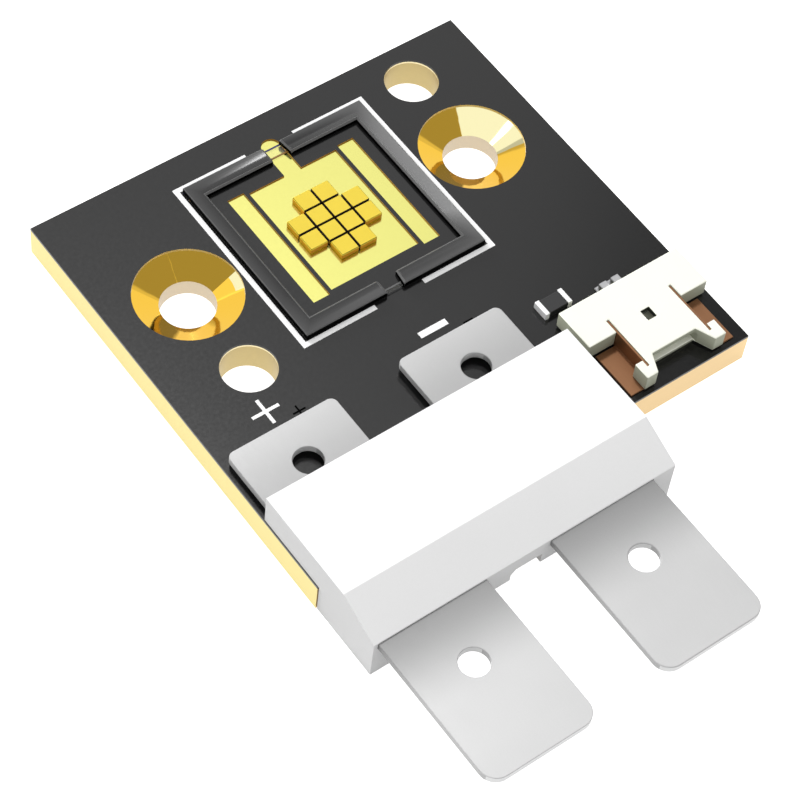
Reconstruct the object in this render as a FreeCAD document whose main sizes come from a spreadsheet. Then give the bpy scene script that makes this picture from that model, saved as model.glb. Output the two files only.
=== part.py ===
# LED module: a metal-core board with a framed field of light-emitting chips,
# two blade terminals in a moulded block, and a small two-way header.
# Millimetres. Origin at the centre of the board's underside, +Z up,
# +X along the terminal block, +Y away from the blades.
import FreeCAD, Part
import os
import Sketcher
from types import SimpleNamespace
from FreeCAD import Rotation, Vector

# Driving dimensions, kept in the document's sheet
SIZES = {
    # board
    "board_width": 28.0,
    "board_depth": 26.5,
    "board_thickness": 2.0,
    "layer_thickness": 0.15,
    "light_setback": 8.15,
    "screw_spacing": 18.75,
    "screw_bore": 3.1,
    "sink_mouth": 6.0,
    "sink_depth": 0.95,
    "locating_bore": 3.1,
    "locating_offset": 5.64,
    # gold lands
    "land_recess": 0.09,
    "land_plating": 0.03,
    "land_clearance": 0.01,
    "die_land_width": 5.72,
    "die_land_depth": 7.68,
    "tail_width": 1.1,
    "tail_length": 2.62,
    "strip_width": 1.02,
    "strip_depth": 8.07,
    "strip_gap": 0.26,
    # chips
    "chip_pitch_across": 1.19,
    "chip_pitch_along": 1.183,
    "chip_gap": 0.06,
    "chip_height": 0.38,
    "chip_shift_across": -0.05,
    "chip_shift_along": -0.15,
    # frame round the chips
    "frame_width": 11.7,
    "frame_depth": 11.65,
    "frame_inner_width": 9.95,
    "frame_inner_depth": 9.65,
    "frame_rim_height": 0.36,
    "frame_lip_height": 0.29,
    "frame_bevel": 0.1,
    "frame_lip_bevel": 0.1,
    "frame_land": 0.08,
    "notch_inner": 1.22,
    "notch_outer_left": 0.65,
    "notch_outer_right": 0.45,
    "adhesive_thickness": 0.05,
    "adhesive_band": 0.5,
    # printed marks
    "print_thickness": 0.03,
    "outline_room_across": 0.13,
    "outline_room_along": 0.085,
    "outline_line": 0.3,
    "outline_gap": 3.13,
    "plus_length": 1.65,
    "plus_stroke": 0.19,
    "plus_shift": 0.16,
    "plus_setback": 1.48,
    "minus_length": 1.77,
    "minus_stroke": 0.39,
    "minus_shift": -0.11,
    "minus_setback": 1.02,
    "small_plus_length": 0.75,
    "small_plus_stroke": 0.08,
    "small_plus_shift": 1.64,
    "small_plus_setback": 0.58,
    "small_minus_length": 0.59,
    "small_minus_stroke": 0.22,
    "small_minus_shift": 1.76,
    "small_minus_setback": 0.36,
    # blades
    "blade_width": 6.6,
    "blade_thickness": 0.45,
    "blade_standoff": 0.3,
    "blade_pitch": 10.63,
    "blade_inboard": 8.5,
    "blade_length": 22.1,
    "blade_rear_radius": 0.4,
    "blade_front_radius": 0.95,
    "blade_hole": 1.65,
    "rear_hole_setback": 2.52,
    "front_hole_setback": 5.7,
    "solder_depth": 1.35,
    "solder_inset": 0.2,
    "solder_slope": 0.1,
    # terminal block
    "block_inset": 0.05,
    "block_wall_left": 0.27,
    "block_wall_right": 1.45,
    "block_cover": 4.65,
    "block_overhang": 4.55,
    "block_height": 2.0,
    "block_nose_cover": 0.12,
    "block_slope_depth": 2.64,
    "block_clearance": 0.05,
    "slot_clearance": 0.02,
    "leg_width": 1.45,
    "relief_height": 1.13,
    "relief_notch_width": 1.93,
    "relief_notch_height": 1.9,
    "relief_notch_bevel": 0.3,
    # header
    "header_gap": 0.68,
    "header_inboard": 6.08,
    "header_width": 8.04,
    "header_depth": 5.81,
    "header_height": 1.2,
    "header_foot_room": 0.03,
    "ear_depth": 2.63,
    "plate_span": 4.4,
    "plate_slot_start": 1.75,
    "plate_slot_end": 5.21,
    "arm_span": 5.36,
    "arm_length": 1.03,
    "arm_tip_span": 3.9,
    "mouth_span": 2.92,
    "mouth_setback": 4.7,
    "cavity_span": 3.1,
    "cavity_floor": 0.25,
    "cavity_roof": 0.35,
    "rear_wall": 0.9,
    "window_width": 0.57,
    "window_depth": 0.68,
    "window_setback": 2.59,
    # header metal
    "tab_thickness": 0.12,
    "tab_reach": 3.5,
    "tab_start": 2.72,
    "tab_end": 5.72,
    "tab_top_gap": 0.06,
    "metal_clearance": 0.02,
    "contact_pitch": 0.8,
    "contact_width": 0.5,
    "contact_thickness": 0.12,
    "contact_rise": 0.55,
    "contact_overhang": 0.7,
    "contact_reach": 2.1,
    "contact_foot_gap": 0.06,
    "contact_foot_toe": 0.14,
    # thermistor
    "sensor_length": 1.79,
    "sensor_width": 1.02,
    "sensor_height": 0.48,
    "sensor_cap": 0.27,
    "sensor_body_inset": 0.03,
    "sensor_shift": -3.35,
    "sensor_gap": 0.62,
}

CHIP_GRID = 4  # rows and columns of the chip grid, whose four corners stay empty
SIDES = (("left", -1), ("right", 1))


class Length:
    """A number together with the sheet formula that gives it."""

    def __init__(self, value, formula=None):
        self.value = value
        self.formula = repr(float(value)) if formula is None else formula

    def _make(self, sign, other, work):
        other = other if isinstance(other, Length) else Length(other)
        return Length(work(self.value, other.value), "(%s %s %s)" % (self.formula, sign, other.formula))

    def __add__(self, other):
        return self._make("+", other, lambda a, b: a + b)

    def __sub__(self, other):
        return self._make("-", other, lambda a, b: a - b)

    def __mul__(self, other):
        return self._make("*", other, lambda a, b: a * b)

    def __truediv__(self, other):
        return self._make("/", other, lambda a, b: a / b)

    def __neg__(self):
        return self * -1


ZERO = Length(0)
BEYOND = Length(1)  # how far a cutting shape runs past the face it opens

doc = FreeCAD.newDocument("led_module")
sheet = doc.addObject("Spreadsheet::Sheet", "Sizes")
for row, (alias, value) in enumerate(SIZES.items(), start=1):
    sheet.set("A%d" % row, alias)
    sheet.set("B%d" % row, str(value))
    sheet.setAlias("B%d" % row, alias)
doc.recompute()
s = SimpleNamespace(**{alias: Length(value, "Sizes." + alias) for alias, value in SIZES.items()})

# Places that several pieces share
board_back = s.board_depth / 2
board_front = -s.board_depth / 2
board_left = -s.board_width / 2
board_right = s.board_width / 2
core_top = s.board_thickness - s.layer_thickness
board_top = s.board_thickness
land_top = board_top - s.land_recess
light_y = board_back - s.light_setback
screw_x = s.screw_spacing / 2
block_left = board_left + s.block_inset
blade_left_x = block_left + s.block_wall_left + s.blade_width / 2
blade_x = {"left": blade_left_x, "right": blade_left_x + s.blade_pitch}
block_right = blade_x["right"] + s.blade_width / 2 + s.block_wall_right
blade_rear = board_front + s.blade_inboard
blade_front = blade_rear - s.blade_length
blade_low = board_top + s.blade_standoff
plate_slot = s.tab_thickness + s.metal_clearance * 2
header_x = block_right + s.header_gap + s.header_width / 2
header_rear = board_front + s.header_inboard
header_low = board_top + s.tab_thickness + s.header_foot_room
header_top = board_top + s.header_height

parts = {}


def keep(node, thing):
    """Names a finished sub-part."""
    thing.Label = node
    parts[node] = thing


def bind(thing, **lengths):
    for name, length in lengths.items():
        thing.setExpression(name, length.formula)
    return thing


def place(thing, x=ZERO, y=ZERO, z=ZERO):
    for axis, length in (("x", x), ("y", y), ("z", z)):
        thing.setExpression("Placement.Base." + axis, length.formula)
    return thing


def box(name, across, along, high, x=ZERO, y=ZERO, z=ZERO):
    """A block centred on x and y that stands on z."""
    thing = bind(doc.addObject("Part::Box", name), Length=across, Width=along, Height=high)
    return place(thing, x - across / 2, y - along / 2, z)


def span(name, x, y, z):
    """A block between the low and the high value on each axis."""
    thing = bind(doc.addObject("Part::Box", name), Length=x[1] - x[0], Width=y[1] - y[0], Height=z[1] - z[0])
    return place(thing, x[0], y[0], z[0])


def rod(name, diameter, high, x=ZERO, y=ZERO, z=ZERO):
    thing = bind(doc.addObject("Part::Cylinder", name), Radius=diameter / 2, Height=high)
    return place(thing, x, y, z)


def taper(name, foot, head, high, x, y, z):
    """A block whose four sides slope from the foot rectangle to the head rectangle, both centred."""
    thing = doc.addObject("Part::Wedge", name)
    thing.Placement.Rotation = Rotation(Vector(1, 0, 0), 90)
    bind(thing, Xmin=-foot[0] / 2, Xmax=foot[0] / 2, Zmin=-foot[1] / 2, Zmax=foot[1] / 2)
    bind(thing, X2min=-head[0] / 2, X2max=head[0] / 2, Z2min=-head[1] / 2, Z2max=head[1] / 2)
    bind(thing, Ymin=ZERO, Ymax=high)
    return place(thing, x, y, z)


def cut(name, base, tools):
    for number, tool in enumerate(tools, start=1):
        step = doc.addObject("Part::Cut", "%s_cut_%d" % (name, number))
        step.Base = base
        step.Tool = tool
        base = step
    return base


def join(name, pieces):
    thing = doc.addObject("Part::MultiFuse", name)
    thing.Shapes = pieces
    thing.Refine = True
    return thing


def body_with_sketch(name, role, offset=ZERO):
    """A body with one sketch, parallel to the body's own origin plane at an offset along its normal."""
    body = doc.addObject("PartDesign::Body", name)
    sketch = body.newObject("Sketcher::SketchObject", name + "_sketch")
    flat = next(feature for feature in body.Origin.OriginFeatures if feature.Role == role)
    sketch.AttachmentSupport = (flat, [""])
    sketch.MapMode = "FlatFace"
    sketch.setExpression("AttachmentOffset.Base.z", offset.formula)
    return body, sketch


def hold(sketch, kind, length, *where):
    number = sketch.addConstraint(Sketcher.Constraint(kind, *where, length.value))
    sketch.setExpression("Constraints[%d]" % number, length.formula)


def outline(sketch, corners):
    """A closed outline with straight sides, each corner held from the sketch's origin."""
    first = len(sketch.Geometry)
    points = [Vector(x.value, y.value, 0) for x, y in corners]
    for start, end in zip(points, points[1:] + points[:1]):
        sketch.addGeometry(Part.LineSegment(start, end), False)
    for number, (x, y) in enumerate(corners):
        before = first + (number - 1) % len(corners)
        sketch.addConstraint(Sketcher.Constraint("Coincident", before, 2, first + number, 1))
        hold(sketch, "DistanceX", x, -1, 1, first + number, 1)
        hold(sketch, "DistanceY", y, -1, 1, first + number, 1)


def circle(sketch, diameter, x, y):
    centre = Vector(x.value, y.value, 0)
    number = sketch.addGeometry(Part.Circle(centre, Vector(0, 0, 1), diameter.value / 2), False)
    hold(sketch, "Diameter", diameter, number)
    hold(sketch, "DistanceX", x, -1, 1, number, 3)
    hold(sketch, "DistanceY", y, -1, 1, number, 3)


def rectangle(sketch, left, right, front, back):
    outline(sketch, [(left, front), (right, front), (right, back), (left, back)])


def pad(body, sketch, length):
    thing = body.newObject("PartDesign::Pad", body.Name + "_pad")
    thing.Profile = sketch
    bind(thing, Length=length)
    sketch.Visibility = False
    return thing


def edges_at(feature, test):
    """Names of the upright edges whose place passes the test."""
    doc.recompute()
    names = []
    for number, edge in enumerate(feature.Shape.Edges, start=1):
        low, high = edge.BoundBox.ZMin, edge.BoundBox.ZMax
        straight_up = edge.BoundBox.XLength + edge.BoundBox.YLength < 1e-6 and high > low
        if straight_up and test(edge.CenterOfMass):
            names.append("Edge%d" % number)
    return names


def round_edges(body, base, names, radius):
    thing = body.newObject("PartDesign::Fillet", body.Name + "_round")
    thing.Base = (base, names)
    bind(thing, Radius=radius)
    return thing


def board_openings(sketch, screw_diameter):
    """The two screw holes on the light's line and the two locating holes beside them."""
    for _, sign in SIDES:
        circle(sketch, screw_diameter, screw_x * sign, light_y)
        circle(sketch, s.locating_bore, screw_x * sign, light_y + s.locating_offset * sign)


def make_base_plate():
    body, sketch = body_with_sketch("base_core", "XY_Plane")
    rectangle(sketch, board_left, board_right, board_front, board_back)
    board_openings(sketch, s.screw_bore)
    pad(body, sketch, core_top)
    sinks = []
    for side, sign in SIDES:
        sink = doc.addObject("Part::Cone", "sink_" + side)
        bind(sink, Radius1=s.screw_bore / 2, Radius2=s.sink_mouth / 2)
        bind(sink, Height=s.sink_depth - s.layer_thickness)
        sinks.append(place(sink, screw_x * sign, light_y, board_top - s.sink_depth))
    keep("base_plate", cut("base_plate", body, sinks))


def die_land(name, room, low, high):
    """The die land and its round-ended tail, grown all round by the room."""
    tail_end = light_y + s.die_land_depth / 2 + s.tail_length - s.tail_width / 2
    width = s.die_land_width + room * 2
    depth = s.die_land_depth + room * 2
    tail_width = s.tail_width + room * 2
    field = box(name + "_field", width, depth, high - low, y=light_y, z=low)
    tail = span(name + "_tail", (-tail_width / 2, tail_width / 2), (light_y, tail_end), (low, high))
    return join(name, [field, tail, rod(name + "_end", tail_width, high - low, y=tail_end, z=low)])


def strip_land(name, sign, room, low, high):
    width = s.strip_width + room * 2
    depth = s.strip_depth + room * 2
    middle = s.die_land_width / 2 + s.strip_gap + s.strip_width / 2
    return box(name, width, depth, high - low, middle * sign, light_y, low)


def make_lands():
    keep("die_pad", die_land("die_pad", ZERO, core_top, land_top))
    for side, sign in SIDES:
        name = "strip_pad_" + side
        keep(name, strip_land(name, sign, ZERO, land_top - s.land_plating, land_top))


def make_circuit_layer():
    body, sketch = body_with_sketch("layer_sheet", "XY_Plane", core_top)
    rectangle(sketch, board_left, board_right, board_front, board_back)
    board_openings(sketch, s.sink_mouth)
    pad(body, sketch, s.layer_thickness)
    above = board_top + BEYOND
    tools = [die_land("die_opening", s.land_clearance, core_top - BEYOND, above)]
    strip_low = land_top - s.land_plating
    for side, sign in SIDES:
        tools.append(strip_land("strip_recess_" + side, sign, s.land_clearance, strip_low, above))
    keep("circuit_layer", cut("circuit_layer", body, tools))


def make_chips():
    number = 0
    for row in range(CHIP_GRID):
        for column in range(CHIP_GRID):
            if row in (0, CHIP_GRID - 1) and column in (0, CHIP_GRID - 1):
                continue
            number += 1
            name = "chip_%02d" % number
            x = s.chip_shift_across + s.chip_pitch_across * (column - (CHIP_GRID - 1) / 2)
            y = light_y + s.chip_shift_along + s.chip_pitch_along * ((CHIP_GRID - 1) / 2 - row)
            wide, deep = s.chip_pitch_across - s.chip_gap, s.chip_pitch_along - s.chip_gap
            keep(name, box(name, wide, deep, s.chip_height, x, y, land_top))


def make_frame():
    """Two facing halves on one adhesive bed, dished on top, parted by a notch at the front and back."""
    bed_top = board_top + s.adhesive_thickness
    band = s.adhesive_band * 2
    bed = box("adhesive_sheet", s.frame_width, s.frame_depth, s.adhesive_thickness, y=light_y, z=board_top)
    hollow = box("adhesive_hollow", s.frame_width - band, s.frame_depth - band, s.adhesive_thickness,
                 y=light_y, z=board_top)
    keep("frame_adhesive", cut("frame_adhesive", bed, [hollow]))
    inner = (s.frame_inner_width, s.frame_inner_depth)
    dish_foot = tuple(length + s.frame_lip_bevel * 2 for length in inner)
    rim_inset = (s.frame_bevel + s.frame_land) * 2
    dish_head = (s.frame_width - rim_inset, s.frame_depth - rim_inset)
    notch_outer = {"left": s.notch_outer_left, "right": s.notch_outer_right}
    for side, sign in SIDES:
        body, sketch = body_with_sketch("frame_block_" + side, "XY_Plane", bed_top)
        outer = notch_outer[side] * sign
        inmost, outmost = s.notch_inner / 2 * sign, s.frame_width / 2 * sign
        far, near = s.frame_depth / 2, s.frame_inner_depth / 2
        outline(sketch, [(outer, light_y + far), (outmost, light_y + far),
                         (outmost, light_y - far), (outer, light_y - far),
                         (inmost, light_y - near), (inmost, light_y + near)])
        block = pad(body, sketch, s.frame_rim_height)
        doc.recompute()
        top = max(enumerate(block.Shape.Faces, start=1), key=lambda item: item[1].CenterOfMass.z)[0]
        bevel = body.newObject("PartDesign::Chamfer", "frame_bevel_" + side)
        bevel.Base = (block, ["Face%d" % top])
        bind(bevel, Size=s.frame_bevel)
        field = box("field_" + side, *inner, s.frame_rim_height, y=light_y, z=bed_top)
        lip = taper("lip_" + side, inner, dish_foot, s.frame_lip_bevel,
                    ZERO, light_y, bed_top + s.frame_lip_height - s.frame_lip_bevel)
        dish = taper("dish_" + side, dish_foot, dish_head, s.frame_rim_height - s.frame_lip_height,
                     ZERO, light_y, bed_top + s.frame_lip_height)
        keep("frame_" + side, cut("frame_" + side, body, [field, lip, dish]))


def make_outline_prints():
    for side, sign in SIDES:
        body, sketch = body_with_sketch("outline_" + side, "XY_Plane", board_top)
        gap, line = s.outline_gap / 2 * sign, s.outline_line
        wide = s.frame_width / 2 + s.outline_room_across + line
        deep = s.frame_depth / 2 + s.outline_room_along + line
        outer, inner = wide * sign, (wide - line) * sign
        back, front = light_y + deep, light_y - deep
        outline(sketch, [(gap, back), (outer, back), (outer, front), (gap, front),
                         (gap, front + line), (inner, front + line),
                         (inner, back - line), (gap, back - line)])
        pad(body, sketch, s.print_thickness)
        keep("outline_print_" + side, body)


def bar(name, across, along, x, y):
    return box(name, across, along, s.print_thickness, x, y, board_top)


def plus_mark(name, length, stroke, x, y):
    across = bar(name + "_across", length, stroke, x, y)
    return join(name, [across, bar(name + "_along", stroke, length, x, y)])


def make_polarity_prints():
    left, right = blade_x["left"], blade_x["right"]
    keep("plus_print", plus_mark("plus_print", s.plus_length, s.plus_stroke,
                                 left + s.plus_shift, blade_rear + s.plus_setback))
    keep("small_plus_print", plus_mark("small_plus_print", s.small_plus_length, s.small_plus_stroke,
                                       left + s.small_plus_shift, blade_rear + s.small_plus_setback))
    keep("minus_print", bar("minus_print", s.minus_length, s.minus_stroke,
                            right + s.minus_shift, blade_rear + s.minus_setback))
    keep("small_minus_print", bar("small_minus_print", s.small_minus_length, s.small_minus_stroke,
                                  right + s.small_minus_shift, blade_rear + s.small_minus_setback))


def make_blades():
    for side, x in blade_x.items():
        body, sketch = body_with_sketch("blade_body_" + side, "XY_Plane", blade_low)
        rectangle(sketch, x - s.blade_width / 2, x + s.blade_width / 2, blade_front, blade_rear)
        circle(sketch, s.blade_hole, x, blade_rear - s.rear_hole_setback)
        circle(sketch, s.blade_hole, x, blade_front + s.front_hole_setback)
        strip = pad(body, sketch, s.blade_thickness)
        middle = (blade_front.value + blade_rear.value) / 2
        rear = round_edges(body, strip, edges_at(strip, lambda at: at.y > middle), s.blade_rear_radius)
        round_edges(body, rear, edges_at(rear, lambda at: at.y < middle), s.blade_front_radius)
        keep("blade_" + side, body)
        foot_width = s.blade_width - s.solder_inset * 2
        bed = taper("solder_bed_" + side, (foot_width, s.solder_depth),
                    (foot_width - s.solder_slope * 2, s.solder_depth - s.solder_slope * 2), s.blade_standoff,
                    x, blade_rear - s.solder_inset - s.solder_depth / 2, board_top)
        keep("solder_" + side, bed)


def make_terminal_block():
    rear = board_front + s.block_cover
    front = board_front - s.block_overhang
    heel = board_front - s.block_clearance
    top = board_top + s.block_height
    nose = blade_low + s.blade_thickness + s.block_nose_cover
    body, sketch = body_with_sketch("block_body", "YZ_Plane", block_left)
    outline(sketch, [(rear, board_top), (rear, top), (front + s.block_slope_depth, top), (front, nose),
                     (front, ZERO), (heel, ZERO), (heel, board_top)])
    pad(body, sketch, block_right - block_left)
    legs = (block_left + s.leg_width, block_right - s.leg_width)
    relief = span("relief", legs, (front - BEYOND, heel), (-BEYOND, s.relief_height))
    middle = (block_left + block_right) / 2
    recess, recess_sketch = body_with_sketch("relief_notch", "XZ_Plane", -heel)
    notch_left, notch_right = middle - s.relief_notch_width / 2, middle + s.relief_notch_width / 2
    outline(recess_sketch, [(notch_left, ZERO), (notch_right, ZERO), (notch_right, s.relief_notch_height),
                            (notch_left + s.relief_notch_bevel, s.relief_notch_height),
                            (notch_left, s.relief_notch_height - s.relief_notch_bevel)])
    pad(recess, recess_sketch, s.block_overhang + BEYOND)
    tools = [relief, recess]
    half = s.blade_width / 2 + s.slot_clearance
    low, high = blade_low - s.slot_clearance, blade_low + s.blade_thickness + s.slot_clearance
    for side, x in blade_x.items():
        tools.append(span("slot_" + side, (x - half, x + half), (front - BEYOND, rear + BEYOND), (low, high)))
    keep("terminal_block", cut("terminal_block", body, tools))


def make_header():
    ear_front = header_rear - s.ear_depth
    tip = header_rear - s.header_depth
    arm_rear = tip + s.arm_length
    mouth = header_rear - s.mouth_setback
    half = [(s.header_width, header_rear), (s.header_width, ear_front), (s.plate_span, ear_front),
            (s.plate_span, arm_rear), (s.arm_span, arm_rear), (s.arm_span, tip), (s.arm_tip_span, tip),
            (s.mouth_span, mouth)]
    corners = [(header_x + width / 2, y) for width, y in half]
    corners += [(header_x - width / 2, y) for width, y in reversed(half)]
    body, sketch = body_with_sketch("header_body", "XY_Plane", header_low)
    outline(sketch, corners)
    pad(body, sketch, header_top - header_low)
    core = s.plate_span / 2 - plate_slot
    standing = span("header_foot", (header_x - core, header_x + core), (mouth, header_rear),
                    (board_top, header_low))
    inner = s.cavity_span / 2
    cavity = span("header_cavity", (header_x - inner, header_x + inner), (tip, header_rear - s.rear_wall),
                  (board_top + s.cavity_floor, header_top - s.cavity_roof))
    window = box("header_window", s.window_width, s.window_depth, s.header_height,
                 header_x, header_rear - s.window_setback, board_top + s.cavity_floor)
    tools = [cavity, window]
    for side, sign in SIDES:
        wall = header_x + s.plate_span / 2 * sign
        slot_x = header_x + (s.plate_span - plate_slot) / 2 * sign
        slot_depth = s.plate_slot_end - s.plate_slot_start
        tools.append(box("plate_slot_" + side, plate_slot, slot_depth, s.header_height,
                         slot_x, header_rear - s.plate_slot_start - slot_depth / 2, board_top))
        make_tab(side, sign, wall)
        make_contact(side, sign)
        lead_high = board_top + s.contact_rise
        lead_x = header_x + s.contact_pitch / 2 * sign
        room = s.metal_clearance
        tools.append(span("lead_slot_" + side,
                          (lead_x - s.contact_width / 2 - room, lead_x + s.contact_width / 2 + room),
                          (header_rear - s.rear_wall, header_rear),
                          (lead_high - s.contact_thickness - room, lead_high + room)))
    keep("connector_housing", cut("connector_housing", join("header_block", [body, standing]), tools))


def make_tab(side, sign, wall):
    """A plate in the header's side slot with a flat foot on the board."""
    room = s.metal_clearance
    plate_rear = header_rear - s.plate_slot_start - room
    plate_front = header_rear - s.plate_slot_end + room
    plate_x = wall - (room + s.tab_thickness / 2) * sign
    plate = box("tab_plate_" + side, s.tab_thickness, plate_rear - plate_front,
                s.header_height - s.tab_top_gap, plate_x, (plate_rear + plate_front) / 2, board_top)
    foot_rear = header_rear - s.tab_start
    foot_front = header_rear - s.tab_end
    foot_width = s.tab_reach - s.plate_span / 2 + room + s.tab_thickness / 2
    foot = box("tab_foot_" + side, foot_width, foot_rear - foot_front, s.tab_thickness,
               plate_x + foot_width / 2 * sign, (foot_rear + foot_front) / 2, board_top)
    name = "connector_tab_" + side
    keep(name, join(name, [plate, foot]))


def make_contact(side, sign):
    """A flat lead that leaves the header's rear wall, drops to the board and ends in a wide foot."""
    thick = s.contact_thickness
    x = header_x + s.contact_pitch / 2 * sign
    lead_high = board_top + s.contact_rise
    drop = header_rear + s.contact_overhang
    body, sketch = body_with_sketch("contact_lead_" + side, "YZ_Plane", x - s.contact_width / 2)
    outline(sketch, [(header_rear - s.contact_reach, lead_high - thick), (drop - thick, lead_high - thick),
                     (drop - thick, board_top), (drop, board_top), (drop, lead_high),
                     (header_rear - s.contact_reach, lead_high)])
    pad(body, sketch, s.contact_width)
    toe = drop + s.contact_foot_toe
    half = (s.contact_pitch - s.contact_foot_gap) / 2
    foot = span("contact_foot_" + side, (x - half, x + half), (drop - thick - s.contact_foot_toe, toe),
                (board_top, board_top + thick))
    name = "connector_contact_" + side
    keep(name, join(name, [body, foot]))


def make_thermistor():
    x = header_x + s.sensor_shift
    y = header_rear + s.sensor_gap + s.sensor_width / 2
    core_length = s.sensor_length - s.sensor_cap * 2
    keep("thermistor_body", box("thermistor_body", core_length, s.sensor_width - s.sensor_body_inset * 2,
                                s.sensor_height - s.sensor_body_inset, x, y, board_top))
    for side, sign in SIDES:
        cap_x = x + (s.sensor_length - s.sensor_cap) / 2 * sign
        name = "thermistor_cap_" + side
        keep(name, box(name, s.sensor_cap, s.sensor_width, s.sensor_height, cap_x, y, board_top))


make_base_plate()
make_circuit_layer()
make_lands()
make_chips()
make_frame()
make_outline_prints()
make_polarity_prints()
make_blades()
make_terminal_block()
make_header()
make_thermistor()
doc.recompute()

for thing in doc.Objects:
    if "Invalid" in thing.State or "Error" in thing.State:
        raise RuntimeError("%s failed: %s" % (thing.Label, thing.State))
for node, thing in parts.items():
    if thing.Shape.isNull() or not thing.Shape.isValid():
        raise RuntimeError("%s has no sound shape" % node)
    if len(thing.Shape.Solids) != 1:
        raise RuntimeError("%s has %d solids" % (node, len(thing.Shape.Solids)))

os.makedirs("parts", exist_ok=True)
for node, thing in parts.items():
    thing.Shape.exportStep(os.path.join("parts", node + ".step"))
    print("%-26s %9.4f mm3" % (node, thing.Shape.Volume))
print(len(parts), "sub-parts")
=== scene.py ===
import bmesh
import bpy
import math
from mathutils import Euler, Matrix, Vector


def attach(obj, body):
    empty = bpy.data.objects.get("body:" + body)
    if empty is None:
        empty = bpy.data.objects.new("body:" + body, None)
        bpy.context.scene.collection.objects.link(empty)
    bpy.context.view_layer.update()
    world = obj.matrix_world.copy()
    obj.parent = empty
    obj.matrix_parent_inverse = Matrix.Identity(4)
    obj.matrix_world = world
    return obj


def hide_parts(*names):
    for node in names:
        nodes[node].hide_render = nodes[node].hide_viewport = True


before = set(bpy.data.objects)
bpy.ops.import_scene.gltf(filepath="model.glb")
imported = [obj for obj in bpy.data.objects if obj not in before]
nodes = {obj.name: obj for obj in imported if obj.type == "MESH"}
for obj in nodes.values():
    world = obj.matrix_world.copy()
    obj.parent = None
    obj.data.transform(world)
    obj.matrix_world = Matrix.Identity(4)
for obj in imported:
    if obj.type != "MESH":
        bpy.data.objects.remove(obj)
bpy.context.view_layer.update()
print("frame loaded with", len(nodes), "nodes")

scene = bpy.context.scene
millimetre = 0.001


# Camera: a long lens from the front left, aimed so that the board's corners fall where the photo has them
cameraView = {
    "place": (-0.05819, -0.06515, 0.11672),
    "turn": (34.595, -4.515, -36.198),  # degrees
    "lens": 122.184,
    "sensor": 36.0,
    "near": 0.005,
    "far": 10.0,
}


def makeCamera():
    data = bpy.data.cameras.new("photoCamera")
    data.lens = cameraView["lens"]
    data.sensor_width = cameraView["sensor"]
    data.clip_start = cameraView["near"]
    data.clip_end = cameraView["far"]
    camera = bpy.data.objects.new("photoCamera", data)
    camera.location = cameraView["place"]
    camera.rotation_euler = Euler([math.radians(angle) for angle in cameraView["turn"]])
    scene.collection.objects.link(camera)
    scene.camera = camera


makeCamera()
print("camera set")


# Light: an even pale sky and a wide soft lamp low at the back. Reflections see a darker sky instead, with
# brighter and darker panels and one small lamp high up. Azimuths run from +Y towards +X and elevations up
# from the floor, in degrees.
skyLight = {
    "level": 0.85,
    "mirrored": 0.64,
    "panels": {  # azimuth, half width, elevation, half height, soft edge, level added
        "rearWindow": (28, 21, 52, 22, 3, 0.4),
        "rearLow": (30, 62, 8, 24, 3, 0.4),
        "darkCorner": (66, 17, 53, 21, 2, -0.38),
        "frontCard": (180, 91, 50, 42, 1, -0.22),
        "leftSoftbox": (305, 33, 52, 20, 1, 0.5),
        "edgeStrip": (311, 3, 60, 6, 1, 2.0),
        "highFront": (216.25, 54.75, 69, 8, 1, 0.72),
    },
}
lamps = {  # azimuth, elevation, distance, width, height, watts, lights surfaces, shows in reflections
    "rearPanel": (-4, 14, 0.45, 0.17, 0.2, 3.2, True, False),
    "highLamp": (18, 66, 0.45, 0.05, 0.05, 0.85, False, True),
}
floorLook = {
    "colour": (0.45, 0.45, 0.45),
    "roughness": 0.9,
    "specular": 0.1,
    "glow": 1.1,
    "side": 3.0,
    "drop": 0.02 * millimetre,  # just under the board, so that the two don't fight for the same place
}


def direction(azimuth, elevation):
    turn, rise = math.radians(azimuth), math.radians(elevation)
    return Vector((math.sin(turn) * math.cos(rise), math.cos(turn) * math.cos(rise), math.sin(rise)))


def makeNode(tree, kind, inputs=None, **settings):
    node = tree.nodes.new(kind)
    for name, value in settings.items():
        setattr(node, name, value)
    for name, value in (inputs or {}).items():
        if isinstance(value, bpy.types.NodeSocket):
            tree.links.new(value, node.inputs[name])
        else:
            node.inputs[name].default_value = value
    return node


def calculated(tree, operation, *values):
    return makeNode(tree, "ShaderNodeMath", dict(enumerate(values)), operation=operation).outputs[0]


def ranged(tree, value, low, high, fromLow=0.3, fromHigh=0.7, shape="LINEAR"):
    # the first range, unless another is given, is where most of the noise textures' values lie
    node = makeNode(tree, "ShaderNodeMapRange", {
        "Value": value, "From Min": fromLow, "From Max": fromHigh, "To Min": low, "To Max": high},
        interpolation_type=shape)
    return node.outputs["Result"]


def blended(tree, factor, first, second, blend="MIX"):
    # first where the factor is 0 and second where it is 1
    node = makeNode(tree, "ShaderNodeMix", data_type="RGBA", blend_type=blend)
    for index, value in ((0, factor), (6, first), (7, second)):
        if isinstance(value, bpy.types.NodeSocket):
            tree.links.new(value, node.inputs[index])
        else:
            node.inputs[index].default_value = (*value, 1) if isinstance(value, tuple) else value
    return node.outputs[2]


def softBand(tree, angle, middle, half, soft):
    # 1 within the band of angles, 0 beyond its soft edge
    offset = calculated(tree, "SUBTRACT", angle, math.radians(middle))
    away = calculated(tree, "ABSOLUTE", calculated(tree, "WRAP", offset, math.pi, -math.pi))
    return ranged(tree, away, 0.0, 1.0, math.radians(half + soft), math.radians(half), "SMOOTHSTEP")


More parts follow.
